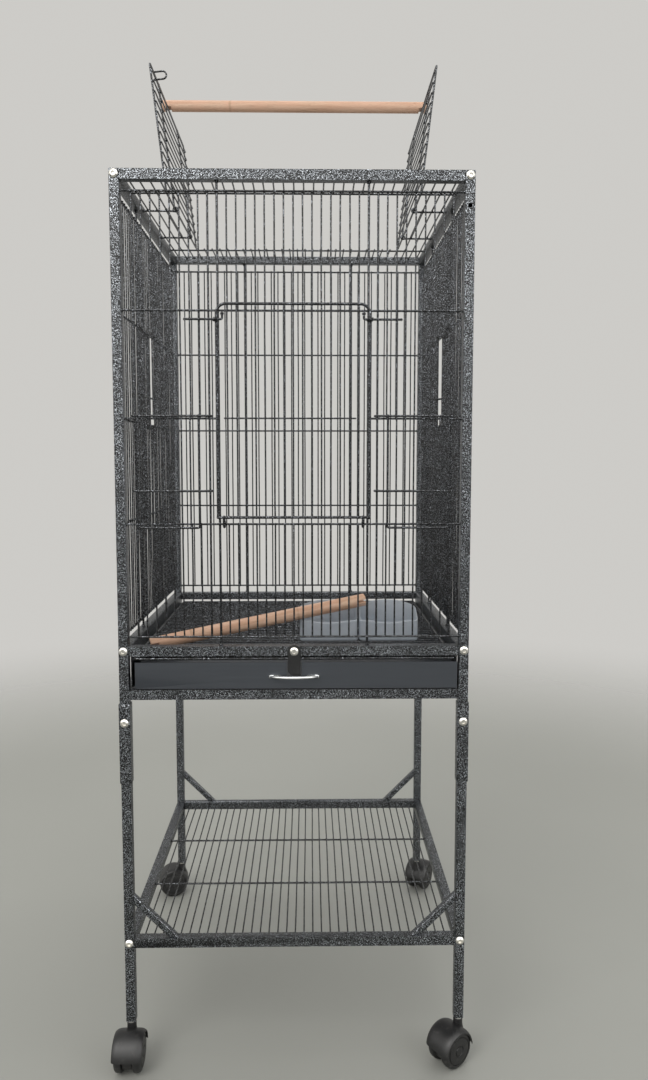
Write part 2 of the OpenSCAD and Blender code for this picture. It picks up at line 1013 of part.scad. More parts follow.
post_front_left();
post_front_right();
post_back_left();
post_back_right();
front_tubes();
back_tubes();
left_tubes();
right_tubes();
front_grille();
back_grille();
left_grille();
right_grille();
roof_grille();
runner_left();
runner_right();
cage_bolts();
leg_front_left();
leg_front_right();
leg_back_left();
leg_back_right();
shelf_tubes();
shelf_grille();
shelf_braces();
stand_bolts();
leg_plugs();
caster_washers();
main_door();
door_latch_left();
door_latch_right();
feeder_door_left();
feeder_door_right();
side_door_left();
side_door_right();
roof_flap_left();
roof_flap_right();
top_perch();
tray();
tray_handle();
floor_grille();
lock_tab();
cup_left();
cup_right();
floor_perch();
caster_front_left();
caster_front_right();
caster_back_left();
caster_back_right();
wheels_front_left();
wheels_front_right();
wheels_back_left();
wheels_back_right();
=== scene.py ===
# %% [markdown]
# # A wire bird cage on a rolling stand
# The cage is a frame of square steel tube. Welded wire panels close its sides, its roof opens as two
# flaps, and a sheet metal tray slides out under a wire grate. It stands on four legs with twin wheel
# casters. The fixed frame below already holds every part at its true size and place, so this script
# only gives those parts their surfaces, and remakes the ones whose shape should be finer.

# %% Load the fixed frame
import bpy
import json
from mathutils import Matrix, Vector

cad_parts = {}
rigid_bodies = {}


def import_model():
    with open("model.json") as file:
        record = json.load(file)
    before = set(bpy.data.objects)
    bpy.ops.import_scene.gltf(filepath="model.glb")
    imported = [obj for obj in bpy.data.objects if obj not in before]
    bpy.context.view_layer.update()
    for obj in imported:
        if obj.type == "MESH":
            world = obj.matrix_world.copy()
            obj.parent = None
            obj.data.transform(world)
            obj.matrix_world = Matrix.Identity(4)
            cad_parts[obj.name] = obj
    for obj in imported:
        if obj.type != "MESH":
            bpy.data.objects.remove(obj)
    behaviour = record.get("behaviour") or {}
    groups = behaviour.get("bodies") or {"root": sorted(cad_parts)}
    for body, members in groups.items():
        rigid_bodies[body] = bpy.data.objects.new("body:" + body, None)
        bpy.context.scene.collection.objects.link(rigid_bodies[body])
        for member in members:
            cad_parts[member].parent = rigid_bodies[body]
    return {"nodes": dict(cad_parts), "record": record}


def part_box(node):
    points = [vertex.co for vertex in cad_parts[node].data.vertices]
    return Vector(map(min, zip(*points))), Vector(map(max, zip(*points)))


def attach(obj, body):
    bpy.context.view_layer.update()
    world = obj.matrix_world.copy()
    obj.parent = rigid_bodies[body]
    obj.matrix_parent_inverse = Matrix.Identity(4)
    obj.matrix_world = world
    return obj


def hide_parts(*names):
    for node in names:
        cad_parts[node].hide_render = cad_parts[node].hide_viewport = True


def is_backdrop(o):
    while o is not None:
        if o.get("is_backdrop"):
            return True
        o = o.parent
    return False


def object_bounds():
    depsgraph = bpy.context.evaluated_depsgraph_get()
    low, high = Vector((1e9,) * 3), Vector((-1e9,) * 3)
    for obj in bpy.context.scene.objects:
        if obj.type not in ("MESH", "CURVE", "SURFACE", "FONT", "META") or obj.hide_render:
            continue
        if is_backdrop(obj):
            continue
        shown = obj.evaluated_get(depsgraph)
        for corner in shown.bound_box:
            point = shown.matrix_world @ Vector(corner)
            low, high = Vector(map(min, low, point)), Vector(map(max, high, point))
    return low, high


for thing in list(bpy.data.objects):
    bpy.data.objects.remove(thing)
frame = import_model()
cad_low, cad_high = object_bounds()
print("frame box in metres:", [round(v, 4) for v in (*cad_low, *cad_high)])

# %% Tools used all through
import json
import math

import bmesh
from mathutils import Euler, Matrix, Vector

MM = 0.001


def mm(*numbers):
    """A point given in millimetres, in Blender's metres."""
    return Vector([n * MM for n in numbers])


# %% [markdown]
# ## Mixing finishes
# Every finish is worked out from a point's place on the object. A wrapper round a node's output lets
# the shader maths read as ordinary sums, so `1 - vein` adds the Math node it needs. Colours are not
# numbers, so they are blended by a Mix node instead.

# %% A small language for node trees
class Value:
    """One output of a node. Arithmetic on it adds Math nodes to the same tree."""

    def __init__(self, bench, socket):
        self.bench, self.socket = bench, socket

    def _sum(self, operation, a, b=0.0, c=0.0):
        return self.bench.node("ShaderNodeMath", {"operation": operation}, {0: a, 1: b, 2: c}).out()

    def __add__(self, other):
        return self._sum("ADD", self, other)

    def __radd__(self, other):
        return self._sum("ADD", other, self)

    def __sub__(self, other):
        return self._sum("SUBTRACT", self, other)

    def __rsub__(self, other):
        return self._sum("SUBTRACT", other, self)

    def __mul__(self, other):
        return self._sum("MULTIPLY", self, other)

    def __rmul__(self, other):
        return self._sum("MULTIPLY", other, self)

    def __truediv__(self, other):
        return self._sum("DIVIDE", self, other)

    def __rtruediv__(self, other):
        return self._sum("DIVIDE", other, self)

    def __pow__(self, other):
        return self._sum("POWER", self, other)

    def over(self, low, high):
        """0 below low, 1 above high, and a smooth rise between. low above high turns it round."""
        flip = low > high
        ends = {"From Min": min(low, high), "From Max": max(low, high)}
        ends.update({"To Min": 1.0, "To Max": 0.0} if flip else {"To Min": 0.0, "To Max": 1.0})
        return self.bench.node("ShaderNodeMapRange", {"interpolation_type": "SMOOTHSTEP"},
                               {"Value": self, **ends}).out("Result")


class Placed:
    """A node on the bench; out() gives one of its outputs."""

    def __init__(self, bench, made):
        self.bench, self.made = bench, made

    def out(self, which=0):
        return Value(self.bench, self.made.outputs[which])


class Bench:
    """A node tree being put together."""

    def __init__(self, tree):
        self.tree = tree

    def node(self, kind, settings=None, sockets=None):
        made = self.tree.nodes.new(kind)
        for name, value in (settings or {}).items():
            if name == "stops":
                self._stops(made.color_ramp, value)
            else:
                setattr(made, name, value)
        for which, value in (sockets or {}).items():
            if isinstance(value, Value):
                self.tree.links.new(value.socket, made.inputs[which])
            elif made.inputs[which].type == "RGBA" and len(value) == 3:
                made.inputs[which].default_value = (*value, 1.0)
            else:
                made.inputs[which].default_value = value
        return Placed(self, made)

    def _stops(self, ramp, stops):
        while len(ramp.elements) < len(stops):
            ramp.elements.new(1.0)
        for element, (place, colour) in zip(ramp.elements, stops):
            element.position, element.color = place, (*colour, 1.0)

    def blend(self, share, a, b):
        """Colour a where share is 0, colour b where it is 1."""
        return self.node("ShaderNodeMix", {"data_type": "RGBA"}, {0: share, 6: a, 7: b}).out(2)

    def noise(self, where, scale, detail=2.0, roughness=0.5, colour=False):
        sockets = {"Vector": where, "Scale": scale, "Detail": detail, "Roughness": roughness}
        return self.node("ShaderNodeTexNoise", {}, sockets).out("Color" if colour else "Fac")

    def place(self, scale=(1, 1, 1), turn=(0, 0, 0), shift=(0, 0, 0)):
        """Where a point lies on the object, after it is stretched and turned."""
        here = self.node("ShaderNodeTexCoord").out("Object")
        if (scale, turn, shift) == ((1, 1, 1), (0, 0, 0), (0, 0, 0)):
            return here
        return self.node("ShaderNodeMapping", {}, {"Vector": here, "Location": shift,
                                                   "Rotation": turn, "Scale": scale}).out()

    def stir(self, where, strength, scale):
        """The same place, pushed about a little by noise."""
        push = self.noise(where, scale, colour=True)
        return self.node("ShaderNodeVectorMath", {"operation": "MULTIPLY_ADD"},
                         {0: push, 1: (strength,) * 3, 2: where}).out()

    def bump(self, height, distance, strength=1.0):
        return self.node("ShaderNodeBump", {}, {"Height": height, "Distance": distance,
                                                "Strength": strength}).out()


finishes = {}


def finish(name, recipe):
    """A material whose surface sockets are what recipe(bench) returns."""
    material = bpy.data.materials.new(name)
    material.use_nodes = True
    material.node_tree.nodes.clear()
    bench = Bench(material.node_tree)
    surface = bench.node("ShaderNodeBsdfPrincipled", {}, recipe(bench))
    bench.node("ShaderNodeOutputMaterial", {}, {"Surface": surface.out()})
    finishes[name] = material
    print("finish", name, "has", len(material.node_tree.nodes), "nodes")
    return material


# %% [markdown]
# ## Hammered powder coat
# The tubes have a black coat that crawls as it bakes, and leaves glossy black pebbles, 1 to 3 mm
# across, in a net of silver veins. A Voronoi pattern gives the net: its distance to the nearest cell
# edge is small in a vein. The place is stirred first, so the cells aren't all straight sided.

# %% Hammered coat for tubes
def hammered_coat(cell, vein_width, silver, dull):
    def recipe(bench):
        here = bench.place()
        stirred = bench.stir(here, 0.0010, 520.0)
        edge = bench.node("ShaderNodeTexVoronoi", {"feature": "DISTANCE_TO_EDGE"},
                          {"Vector": stirred, "Scale": 1 / (cell * MM)}).out("Distance")
        patchy = bench.noise(here, 38.0, 3.0, 0.6)
        flecks = bench.noise(here, 760.0, 1.5).over(0.44, 0.60)
        vein = edge.over(vein_width, 0.01) * flecks * (0.35 + 1.2 * patchy)
        return {"Base Color": bench.blend(vein, (0.0030, 0.0033, 0.0040), silver),
                "Metallic": vein.over(0.0, 0.3),
                "Roughness": dull + 0.12 * vein + 0.12 * patchy,
                "Specular IOR Level": 0.32,
                "Normal": bench.bump(edge.over(0.0, 0.3) + 0.25 * flecks, 0.00014, 0.7)}
    return recipe


finish("hammered coat", hammered_coat(2.1, 0.13, (0.62, 0.66, 0.71), 0.30))

# %% [markdown]
# The same coat goes on the wires. They are too thin for a whole cell, so they look nearly black with
# a few grey flecks, and the coat gathers a little at the welds.

# %% Coat for wires
finish("wire coat", hammered_coat(2.2, 0.09, (0.34, 0.36, 0.39), 0.16))

# %% [markdown]
# ## Tray paint
# The tray is bent from sheet and has a plain satin paint, black with some blue in it. It shows a
# slight orange peel, faint wipe marks from side to side and a little dust.

# %% Satin paint
def satin_paint(bench):
    here = bench.place()
    peel = bench.noise(here, 700.0, 2.0)
    wipe = bench.noise(bench.place((3.0, 3.0, 70.0)), 5.0, 4.0, 0.65)
    dust = bench.noise(here, 2600.0, 2.0).over(0.62, 0.74) * bench.noise(here, 24.0).over(0.4, 0.7)
    return {"Base Color": bench.blend(0.5 * dust + 0.25 * wipe, (0.040, 0.046, 0.056), (0.085, 0.093, 0.105)),
            "Roughness": 0.34 + 0.16 * wipe + 0.25 * dust,
            "Coat Weight": 0.12,
            "Normal": bench.bump(peel, 0.00006, 0.5)}


finish("satin paint", satin_paint)

# %% [markdown]
# ## Zinc and chrome
# The screws are zinc plated: soft grey with a warm cast, brushed by the driver. The tray's handle is
# chromed, so nearly all of its look is what it mirrors, with slightly duller touched places.

# %% Bright metals
def zinc(bench):
    here = bench.place()
    mottle = bench.noise(here, 420.0, 3.0, 0.6)
    scratch = bench.noise(bench.place((900.0, 900.0, 9000.0)), 1.0, 2.0)
    return {"Base Color": bench.blend(mottle, (0.56, 0.54, 0.49), (0.86, 0.85, 0.80)),
            "Metallic": 1.0,
            "Roughness": 0.24 + 0.22 * mottle,
            "Normal": bench.bump(scratch, 0.00002, 0.4)}


def chrome(bench):
    touched = bench.noise(bench.place(), 160.0, 3.0, 0.6)
    return {"Base Color": bench.blend(touched.over(0.45, 0.8), (0.86, 0.87, 0.88), (0.66, 0.67, 0.68)),
            "Metallic": 1.0,
            "Roughness": 0.07 + 0.14 * touched}


finish("zinc plate", zinc)
finish("chrome plate", chrome)

# %% [markdown]
# ## Perch wood
# The perches are turned dowels of a pale close grained wood with a pink cast. Growth lines run along
# the dowel, short dark pores follow them, and a darker band crosses here and there. The place is
# turned into the dowel's own direction first, so the grain runs along it on both perches.

# %% Wood along a dowel
def dowel_wood(turn, knots):
    def recipe(bench):
        along = bench.place((1.0, 1.0, 1.0), turn)
        stretched = bench.node("ShaderNodeVectorMath", {"operation": "MULTIPLY"},
                               {0: along, 1: (7.0, 150.0, 150.0)}).out()
        lines = bench.noise(stretched, 1.0, 5.0, 0.62)
        fine = bench.node("ShaderNodeVectorMath", {"operation": "MULTIPLY"},
                          {0: along, 1: (120.0, 1500.0, 1500.0)}).out()
        pores = bench.noise(fine, 1.0, 2.0).over(0.60, 0.72)
        blush = bench.noise(along, 26.0, 2.0)
        axial = bench.node("ShaderNodeSeparateXYZ", {}, {0: along}).out("X")
        knot = None
        for centre in knots:
            near = ((axial - centre * MM) * 260.0) ** 2.0
            mark = (near + bench.noise(along, 90.0) * 1.2).over(1.0, 0.25)
            knot = mark if knot is None else knot + mark
        tone = bench.blend(lines.over(0.32, 0.68), (0.60, 0.355, 0.235), (0.80, 0.555, 0.405))
        tone = bench.blend(blush.over(0.35, 0.75) * 0.45, tone, (0.76, 0.44, 0.31))
        tone = bench.blend(pores * 0.45, tone, (0.34, 0.17, 0.10))
        tone = bench.blend(knot * 0.55, tone, (0.36, 0.19, 0.10))
        return {"Base Color": tone,
                "Roughness": 0.52 + 0.18 * lines,
                "Normal": bench.bump(lines + 0.5 * (1 - pores), 0.00012, 0.6)}
    return recipe


perch_low, perch_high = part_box("floor_perch")
lean = Vector(perch_high) - Vector(perch_low)
swing = math.atan2(lean.y, lean.x)
rise = math.atan2(lean.z - 18 * MM, math.hypot(lean.x, lean.y))
finish("top perch wood", dowel_wood((0, 0, 0), (-98.0,)))
finish("floor perch wood", dowel_wood((0, rise, -swing), (-110.0, 42.0)))
print("loose perch: swing", round(math.degrees(swing), 1), "rise", round(math.degrees(rise), 1))

# %% [markdown]
# ## Plastics
# The cups are moulded in smoky see-through plastic, dulled by handling. The casters are hard black
# nylon with a fine spark texture; their treads are scuffed grey where they roll.

# %% Smoky cup plastic
def smoky_plastic(bench):
    here = bench.place()
    haze = bench.noise(here, 45.0, 4.0, 0.65)
    wisp = bench.noise(bench.place((1.0, 1.0, 0.25)), 320.0, 3.0)
    return {"Base Color": bench.blend(haze, (0.58, 0.63, 0.69), (0.70, 0.74, 0.80)),
            "Roughness": 0.20 + 0.22 * haze + 0.08 * wisp,
            "IOR": 1.49,
            "Alpha": 0.62 + 0.22 * haze,
            "Transmission Weight": 0.25,
            "Coat Weight": 0.2,
            "Normal": bench.bump(wisp, 0.00008, 0.4)}


finish("smoky plastic", smoky_plastic)

# %% Black plastics
def black_plastic(scuffed):
    def recipe(bench):
        here = bench.place()
        spark = bench.noise(here, 3200.0, 2.0)
        wear = bench.noise(here, 95.0, 4.0, 0.7)
        worn = wear.over(0.52, 0.72) * scuffed
        return {"Base Color": bench.blend(worn, (0.009, 0.009, 0.0095), (0.085, 0.083, 0.078)),
                "Roughness": 0.36 + 0.14 * wear + 0.2 * worn,
                "Normal": bench.bump(spark + 0.6 * wear, 0.00005, 0.6)}
    return recipe


finish("caster plastic", black_plastic(0.25))
finish("wheel plastic", black_plastic(0.6))

# %% [markdown]
# ## Putting finished pieces in the frame
# A piece made here stands for one node of the frame, rides on that node's body, and keeps its place
# in its own mesh. `settle` turns whatever modifiers made it into a plain mesh first.

# %% Piece helpers
body_of_node = {}
for body, names in frame["record"]["behaviour"]["bodies"].items():
    for name in names:
        body_of_node[name] = body
made = {}


def settle(obj):
    """Applies every modifier of obj and leaves it as a plain mesh."""
    graph = bpy.context.evaluated_depsgraph_get()
    mesh = bpy.data.meshes.new_from_object(obj.evaluated_get(graph), preserve_all_data_layers=True,
                                           depsgraph=graph)
    obj.modifiers.clear()
    obj.data = mesh
    mesh.name = obj.name
    return obj


def new_object(name, mesh):
    obj = bpy.data.objects.new(name, mesh)
    bpy.context.scene.collection.objects.link(obj)
    return obj


def stand_for(obj, node, finish_name=None):
    """obj takes the place of a node of the frame."""
    if finish_name:
        obj.data.materials.clear()
        obj.data.materials.append(finishes[finish_name])
    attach(obj, body_of_node[node])
    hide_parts(node)
    obj.data.calc_loop_triangles()
    made[node] = len(obj.data.loop_triangles)
    return obj


# %% [markdown]
# ## Square tubes
# The frame's tubes have sharp edges, and drawn steel tube has rounded ones, which catch a thin line
# of light. Each tube is copied, its triangles are merged into whole faces, and only the edges that
# run along the tube are bevelled. The ends stay square, because they butt against the next tube.

# %% Round the long edges of a copied node
def long_way(verts):
    """The direction of the longest straight edge among these vertices."""
    edges = {e for v in verts for e in v.link_edges}
    best = max(edges, key=lambda e: e.calc_length())
    return (best.verts[1].co - best.verts[0].co).normalized()


def islands(bm):
    left = set(bm.verts)
    while left:
        todo, group = [left.pop()], set()
        while todo:
            vert = todo.pop()
            group.add(vert)
            for edge in vert.link_edges:
                other = edge.other_vert(vert)
                if other in left:
                    left.discard(other)
                    todo.append(other)
        yield group


def rounded_copy(node, radius, finish_name, steps=3, every_edge=False):
    bm = bmesh.new()
    bm.from_mesh(frame["nodes"][node].data)
    bmesh.ops.remove_doubles(bm, verts=bm.verts[:], dist=2e-6)
    bmesh.ops.dissolve_limit(bm, angle_limit=math.radians(1.0), verts=bm.verts[:], edges=bm.edges[:])
    chosen = []
    for group in list(islands(bm)):
        way = long_way(group)
        for edge in {e for v in group for e in v.link_edges}:
            if len(edge.link_faces) != 2 or not edge.is_convex:
                continue
            along = abs((edge.verts[1].co - edge.verts[0].co).normalized().dot(way)) > 0.9999
            if (along or every_edge) and edge.calc_face_angle() > math.radians(40):
                chosen.append(edge)
    bmesh.ops.bevel(bm, geom=chosen, offset=radius * MM, offset_type="OFFSET", segments=steps,
                    profile=0.5, affect="EDGES", clamp_overlap=True)
    bmesh.ops.triangulate(bm, faces=[f for f in bm.faces if len(f.verts) > 4])
    mesh = bpy.data.meshes.new(node + "_rounded")
    bm.to_mesh(mesh)
    bm.free()
    for face in mesh.polygons:
        face.use_smooth = True
    mesh.set_sharp_from_angle(angle=math.radians(35))
    obj = new_object(node + "_rounded", mesh)
    even = obj.modifiers.new("even", "WEIGHTED_NORMAL")
    even.keep_sharp = True
    settle(obj)
    return stand_for(obj, node, finish_name)


tube_nodes = [n for n in frame["nodes"] if n.startswith(("post_", "leg_front", "leg_back"))]
tube_nodes += ["front_tubes", "back_tubes", "left_tubes", "right_tubes", "shelf_tubes", "shelf_braces"]
for name in tube_nodes:
    rounded_copy(name, 1.5, "hammered coat")
print("tubes:", {n: made[n] for n in tube_nodes})

# %% Sheet parts, lock tab and plugs
for name in ("runner_left", "runner_right"):
    rounded_copy(name, 0.25, "hammered coat", 2)
rounded_copy("tray", 0.4, "satin paint", 2)
rounded_copy("lock_tab", 0.35, "caster plastic", 2, every_edge=True)
print("sheet parts:", made["tray"], made["lock_tab"])

# %% [markdown]
# ## Wirework
# Everything between the tubes is round wire that was cut, bent and spot welded. One Geometry Nodes
# tree makes it all. It is given the wires' centre lines as loose edges, and a lone point for every
# weld. It bows each wire a little, because no real panel is quite straight, gives it its thickness,
# and puts a small uneven nugget of metal on every weld.

# %% The wirework tree
def wirework_tree():
    tree = bpy.data.node_groups.new("Wirework", "GeometryNodeTree")
    face = tree.interface
    face.new_socket("Centre lines", in_out="INPUT", socket_type="NodeSocketGeometry")
    sizes = (("Sides", "NodeSocketInt", 10), ("Bow length", "NodeSocketFloat", 0.16),
             ("Nugget variety", "NodeSocketFloat", 0.25), ("Seed", "NodeSocketInt", 3))
    for name, kind, value in sizes:
        face.new_socket(name, in_out="INPUT", socket_type=kind).default_value = value
    face.new_socket("Coat", in_out="INPUT", socket_type="NodeSocketMaterial")
    face.new_socket("Wirework", in_out="OUTPUT", socket_type="NodeSocketGeometry")
    bench = Bench(tree)
    given = bench.node("NodeGroupInput")

    def named(name):
        return bench.node("GeometryNodeInputNamedAttribute", {"data_type": "FLOAT"}, {"Name": name}).out()

    is_weld = bench.node("FunctionNodeCompare", {"operation": "GREATER_THAN"}, {0: named("nugget"), 1: 0.0})
    split = bench.node("GeometryNodeSeparateGeometry", {},
                       {"Geometry": given.out("Centre lines"), "Selection": is_weld.out()})
    where = bench.node("GeometryNodeInputPosition").out()
    wave = bench.node("ShaderNodeTexNoise", {"noise_dimensions": "4D"},
                      {"Vector": where, "W": named("strand") * 3.71 + given.out("Seed"),
                       "Scale": 1.0 / given.out("Bow length"), "Detail": 0.0}).out("Color")
    centred = bench.node("ShaderNodeVectorMath", {"operation": "SUBTRACT"}, {0: wave, 1: (0.5, 0.5, 0.5)})
    bow = bench.node("ShaderNodeVectorMath", {"operation": "SCALE"},
                     {0: centred.out(), "Scale": named("sway") * 2.0})
    bowed = bench.node("GeometryNodeSetPosition", {},
                       {"Geometry": split.out("Inverted"), "Offset": bow.out()})
    lines = bench.node("GeometryNodeMeshToCurve", {}, {"Mesh": bowed.out()})
    ring = bench.node("GeometryNodeCurvePrimitiveCircle", {},
                      {"Resolution": given.out("Sides"), "Radius": 1.0})
    wires = bench.node("GeometryNodeCurveToMesh", {},
                       {"Curve": lines.out(), "Profile Curve": ring.out(), "Scale": named("girth"),
                        "Fill Caps": True})
    spots = bench.node("GeometryNodeMeshToPoints", {}, {"Mesh": split.out("Selection")})
    blob = bench.node("GeometryNodeMeshIcoSphere", {}, {"Radius": 1.0, "Subdivisions": 2})
    stretch = bench.node("FunctionNodeRandomValue", {"data_type": "FLOAT_VECTOR"},
                         {0: (0.85, 0.85, 0.85), 1: (1.2, 1.2, 1.2), "Seed": given.out("Seed")}).out(0)
    even = bench.node("ShaderNodeVectorMath", {"operation": "SUBTRACT"}, {0: stretch, 1: (1.0, 1.0, 1.0)})
    uneven = bench.node("ShaderNodeVectorMath", {"operation": "MULTIPLY_ADD"},
                        {0: even.out(), 1: (1.0, 1.0, 1.0), 2: (1.0, 1.0, 1.0)})
    size = bench.node("ShaderNodeVectorMath", {"operation": "SCALE"},
                      {0: uneven.out(), "Scale": named("nugget")})
    welds = bench.node("GeometryNodeInstanceOnPoints", {},
                       {"Points": spots.out(), "Instance": blob.out("Mesh"), "Scale": size.out()})
    plain = bench.node("GeometryNodeRealizeInstances", {}, {"Geometry": welds.out()})
    join = bench.node("GeometryNodeJoinGeometry")
    for part in (wires, plain):
        tree.links.new(part.out().socket, join.made.inputs[0])
    smooth = bench.node("GeometryNodeSetShadeSmooth", {}, {"Geometry": join.out()})
    coated = bench.node("GeometryNodeSetMaterial", {},
                        {"Geometry": smooth.out(), "Material": given.out("Coat")})
    bench.node("NodeGroupOutput", {}, {0: coated.out()})
    return tree


wirework = wirework_tree()
print("wirework tree:", len(wirework.nodes), "nodes")


# %% Wires and welds to feed the tree
class Wires:
    """Centre lines and weld spots of one piece, in millimetres."""

    def __init__(self):
        self.spots, self.edges, self.facts, self.strands = [], [], [], 0

    def _point(self, spot, girth=0.0, sway=0.0, nugget=0.0):
        self.spots.append(Vector(spot))
        self.facts.append((girth, self.strands, sway, nugget))
        return len(self.spots) - 1

    def wire(self, path, diameter, sway=0.0, closed=False, step=22.0):
        """One wire along path. Long straight stretches are cut into steps, so that they can bow."""
        self.strands += 1
        path = [Vector(p) for p in path]
        ends = path + [path[0]] if closed else path
        chain = []
        for a, b in zip(ends, ends[1:]):
            parts = max(1, round((b - a).length / step))
            chain += [a.lerp(b, i / parts) for i in range(parts)]
        if not closed:
            chain.append(ends[-1])
        last = len(chain) - 1
        row = []
        for i, spot in enumerate(chain):
            held = 0.0 if not closed and i in (0, last) else 1.0
            row.append(self._point(spot, diameter / 2, sway * held))
        self.edges += list(zip(row, row[1:])) + ([(row[-1], row[0])] if closed else [])

    def weld(self, spot, size):
        self._point(spot, nugget=size)

    def piece(self, node, coat="wire coat", sides=10):
        """The finished piece, standing for a node of the frame."""
        mesh = bpy.data.meshes.new(node + "_lines")
        mesh.from_pydata([p * MM for p in self.spots], self.edges, [])
        for k, name in enumerate(("girth", "strand", "sway", "nugget")):
            scale = 1.0 if name == "strand" else MM
            layer = mesh.attributes.new(name, "FLOAT", "POINT")
            layer.data.foreach_set("value", [fact[k] * scale for fact in self.facts])
        obj = new_object(node + "_wire", mesh)
        maker = obj.modifiers.new("wirework", "NODES")
        maker.node_group = wirework
        keys = {s.name: s.identifier for s in wirework.interface.items_tree if s.in_out == "INPUT"}
        maker[keys["Sides"]] = sides
        maker[keys["Coat"]] = finishes[coat]
        settle(obj)
        for name in ("girth", "strand", "sway", "nugget"):
            if name in obj.data.attributes:
                obj.data.attributes.remove(obj.data.attributes[name])
        obj.data.set_sharp_from_angle(angle=math.radians(50))
        return stand_for(obj, node)


def bent(corners, radius, closed=False, steps=5):
    """A path through corners, each turned with a bend of this radius."""
    corners = [Vector(c) for c in corners]
    count, path = len(corners), []
    for i, corner in enumerate(corners):
        if not closed and i in (0, count - 1):
            path.append(corner)
            continue
        before = (corners[i - 1] - corner).normalized()
        after = (corners[(i + 1) % count] - corner).normalized()
        half = before.angle(after) / 2
        reach = radius / math.tan(half)
        middle = corner + (before + after).normalized() * (radius / math.sin(half))
        start, end = corner + before * reach - middle, corner + after * reach - middle
        turn = start.angle(end)
        for k in range(steps + 1):
            t = k / steps
            path.append(middle + (start * math.sin((1 - t) * turn) + end * math.sin(t * turn)) / math.sin(turn))
    return path


def loop(centre, axis, radius, start, sweep, climb=0.0, steps=20):
    """Part of a turn, or more than one, round an axis through centre. Angles in degrees."""
    axis = Vector(axis).normalized()
    side = Vector((0, 0, 1)) if abs(axis.z) < 0.5 else Vector((1, 0, 0))
    other = axis.cross(side)
    path = []
    for k in range(steps + 1):
        a = math.radians(start + sweep * k / steps)
        path.append(Vector(centre) + radius * (side * math.cos(a) + other * math.sin(a))
                    + axis * (climb * (k / steps - 0.5)))
    return path


print("wire helpers ready")

# %% [markdown]
# ## Side panels
# Each side has thin uprights 12 mm apart, five cross wires outside them, and two thicker uprights
# that run from tube to tube. Openings for doors leave out a stretch of some uprights. A panel is
# laid out flat, as sideways, outwards and up, and then turned to its own face of the cage.

# %% Sizes shared by the wirework
TUBE, POST, INSIDE = 13.0, 223.5, 217.0
PITCH, OUT = 12.0, 2.2
FLOOR_TUBE, TOP = 565.0, 1184.0
ROWS = (590.0, 738.32, 874.5, 1010.68, 1158.0)
THIN, CROSS, THICK = 2.2, 2.8, 3.8
FACES = {
    "front": lambda across, out, up: Vector((across, -POST - out, up)),
    "back": lambda across, out, up: Vector((-across, POST + out, up)),
    "right": lambda across, out, up: Vector((POST + out, across, up)),
    "left": lambda across, out, up: Vector((-POST - out, -across, up)),
}


def panel(face, openings=(), guides=(), split=False):
    """The fixed wires of one side. An opening is (first step, last step, low row, high row)."""
    at, wires = FACES[face], Wires()
    for step in range(-17, 18):
        across = step * PITCH
        if abs(step) == 8:
            wires.wire([at(across, 0, FLOOR_TUBE + TUBE), at(across, 0, TOP - TUBE)], 3.2, 0.25)
            for up in (FLOOR_TUBE + TUBE + 0.6, TOP - TUBE - 0.6):
                wires.weld(at(across, 0.2, up), 2.9)
            cuts = ()
        else:
            cuts = [o for o in openings if o[0] < step < o[1]]
            stretches = [(ROWS[0] - 1, ROWS[4] + 1)]
            if cuts:
                stretches = [(ROWS[0] - 1, ROWS[cuts[0][2]] + 1), (ROWS[cuts[0][3]] - 1, ROWS[4] + 1)]
            for low, high in stretches:
                guide = step in guides
                wires.wire([at(across, 0, low), at(across, 0, high)], CROSS if guide else THIN,
                           0.0 if guide else 0.55)
        for row, up in enumerate(ROWS):
            inside_gap = any(o[2] < row < o[3] for o in cuts)
            if not inside_gap and not (split and row == 2 and abs(step) < 8):
                wires.weld(at(across, OUT / 2, up), 1.65)
    for row, up in enumerate(ROWS):
        spans = [(-INSIDE, -8 * PITCH + 1), (8 * PITCH - 1, INSIDE)] if split and row == 2 else [(-INSIDE, INSIDE)]
        for a, b in spans:
            wires.wire([at(a, OUT, up), at(b, OUT, up)], CROSS, 0.15)
        for end in (-INSIDE, INSIDE):
            wires.weld(at(end, OUT, up), 2.3)
    return wires.piece(face + "_grille")


front_gaps = [(-8, 8, 1, 3), (-17, -9, 1, 2), (9, 17, 1, 2)]
panel("front", front_gaps, (-17, -9, 9, 17), split=True)
panel("back")
panel("right", [(-6, 2, 2, 3)], (-6, 2))
panel("left", [(-2, 6, 2, 3)], (-2, 6))
print("panels:", {n: made[n] for n in made if n.endswith("_grille")})

# %% [markdown]
# ## Sliding doors
# A small door lifts straight up over a cup opening. Its two long bars end in eyes that are bent
# round the panel's thicker guide uprights, so the door can slide but can't fall off.

# %% Sliding doors
SLIDE_OUT, SPAN, MID_BAR, TOP_BAR = 5.4, 96.0, 43.05, 139.38


def eye_bar(door, at, up, wire=3.0, ring=2.95):
    """A bar whose two ends are bent into eyes round the guide wires."""
    path = []
    for end, way in ((0.0, 1), (SPAN, -1)):
        eye = []
        for k in range(17):
            a = math.radians(90 + way * (300 - 300 * k / 16))
            eye.append(at(end + ring * math.cos(a), ring * math.sin(a), up))
        eye += [at(end + way * 2.5, 3.5, up), at(end + way * 5.0, 4.8, up), at(end + way * 8.0, SLIDE_OUT, up)]
        path += eye if way > 0 else eye[::-1]
    door.wire(path, wire, 0.0, step=40)


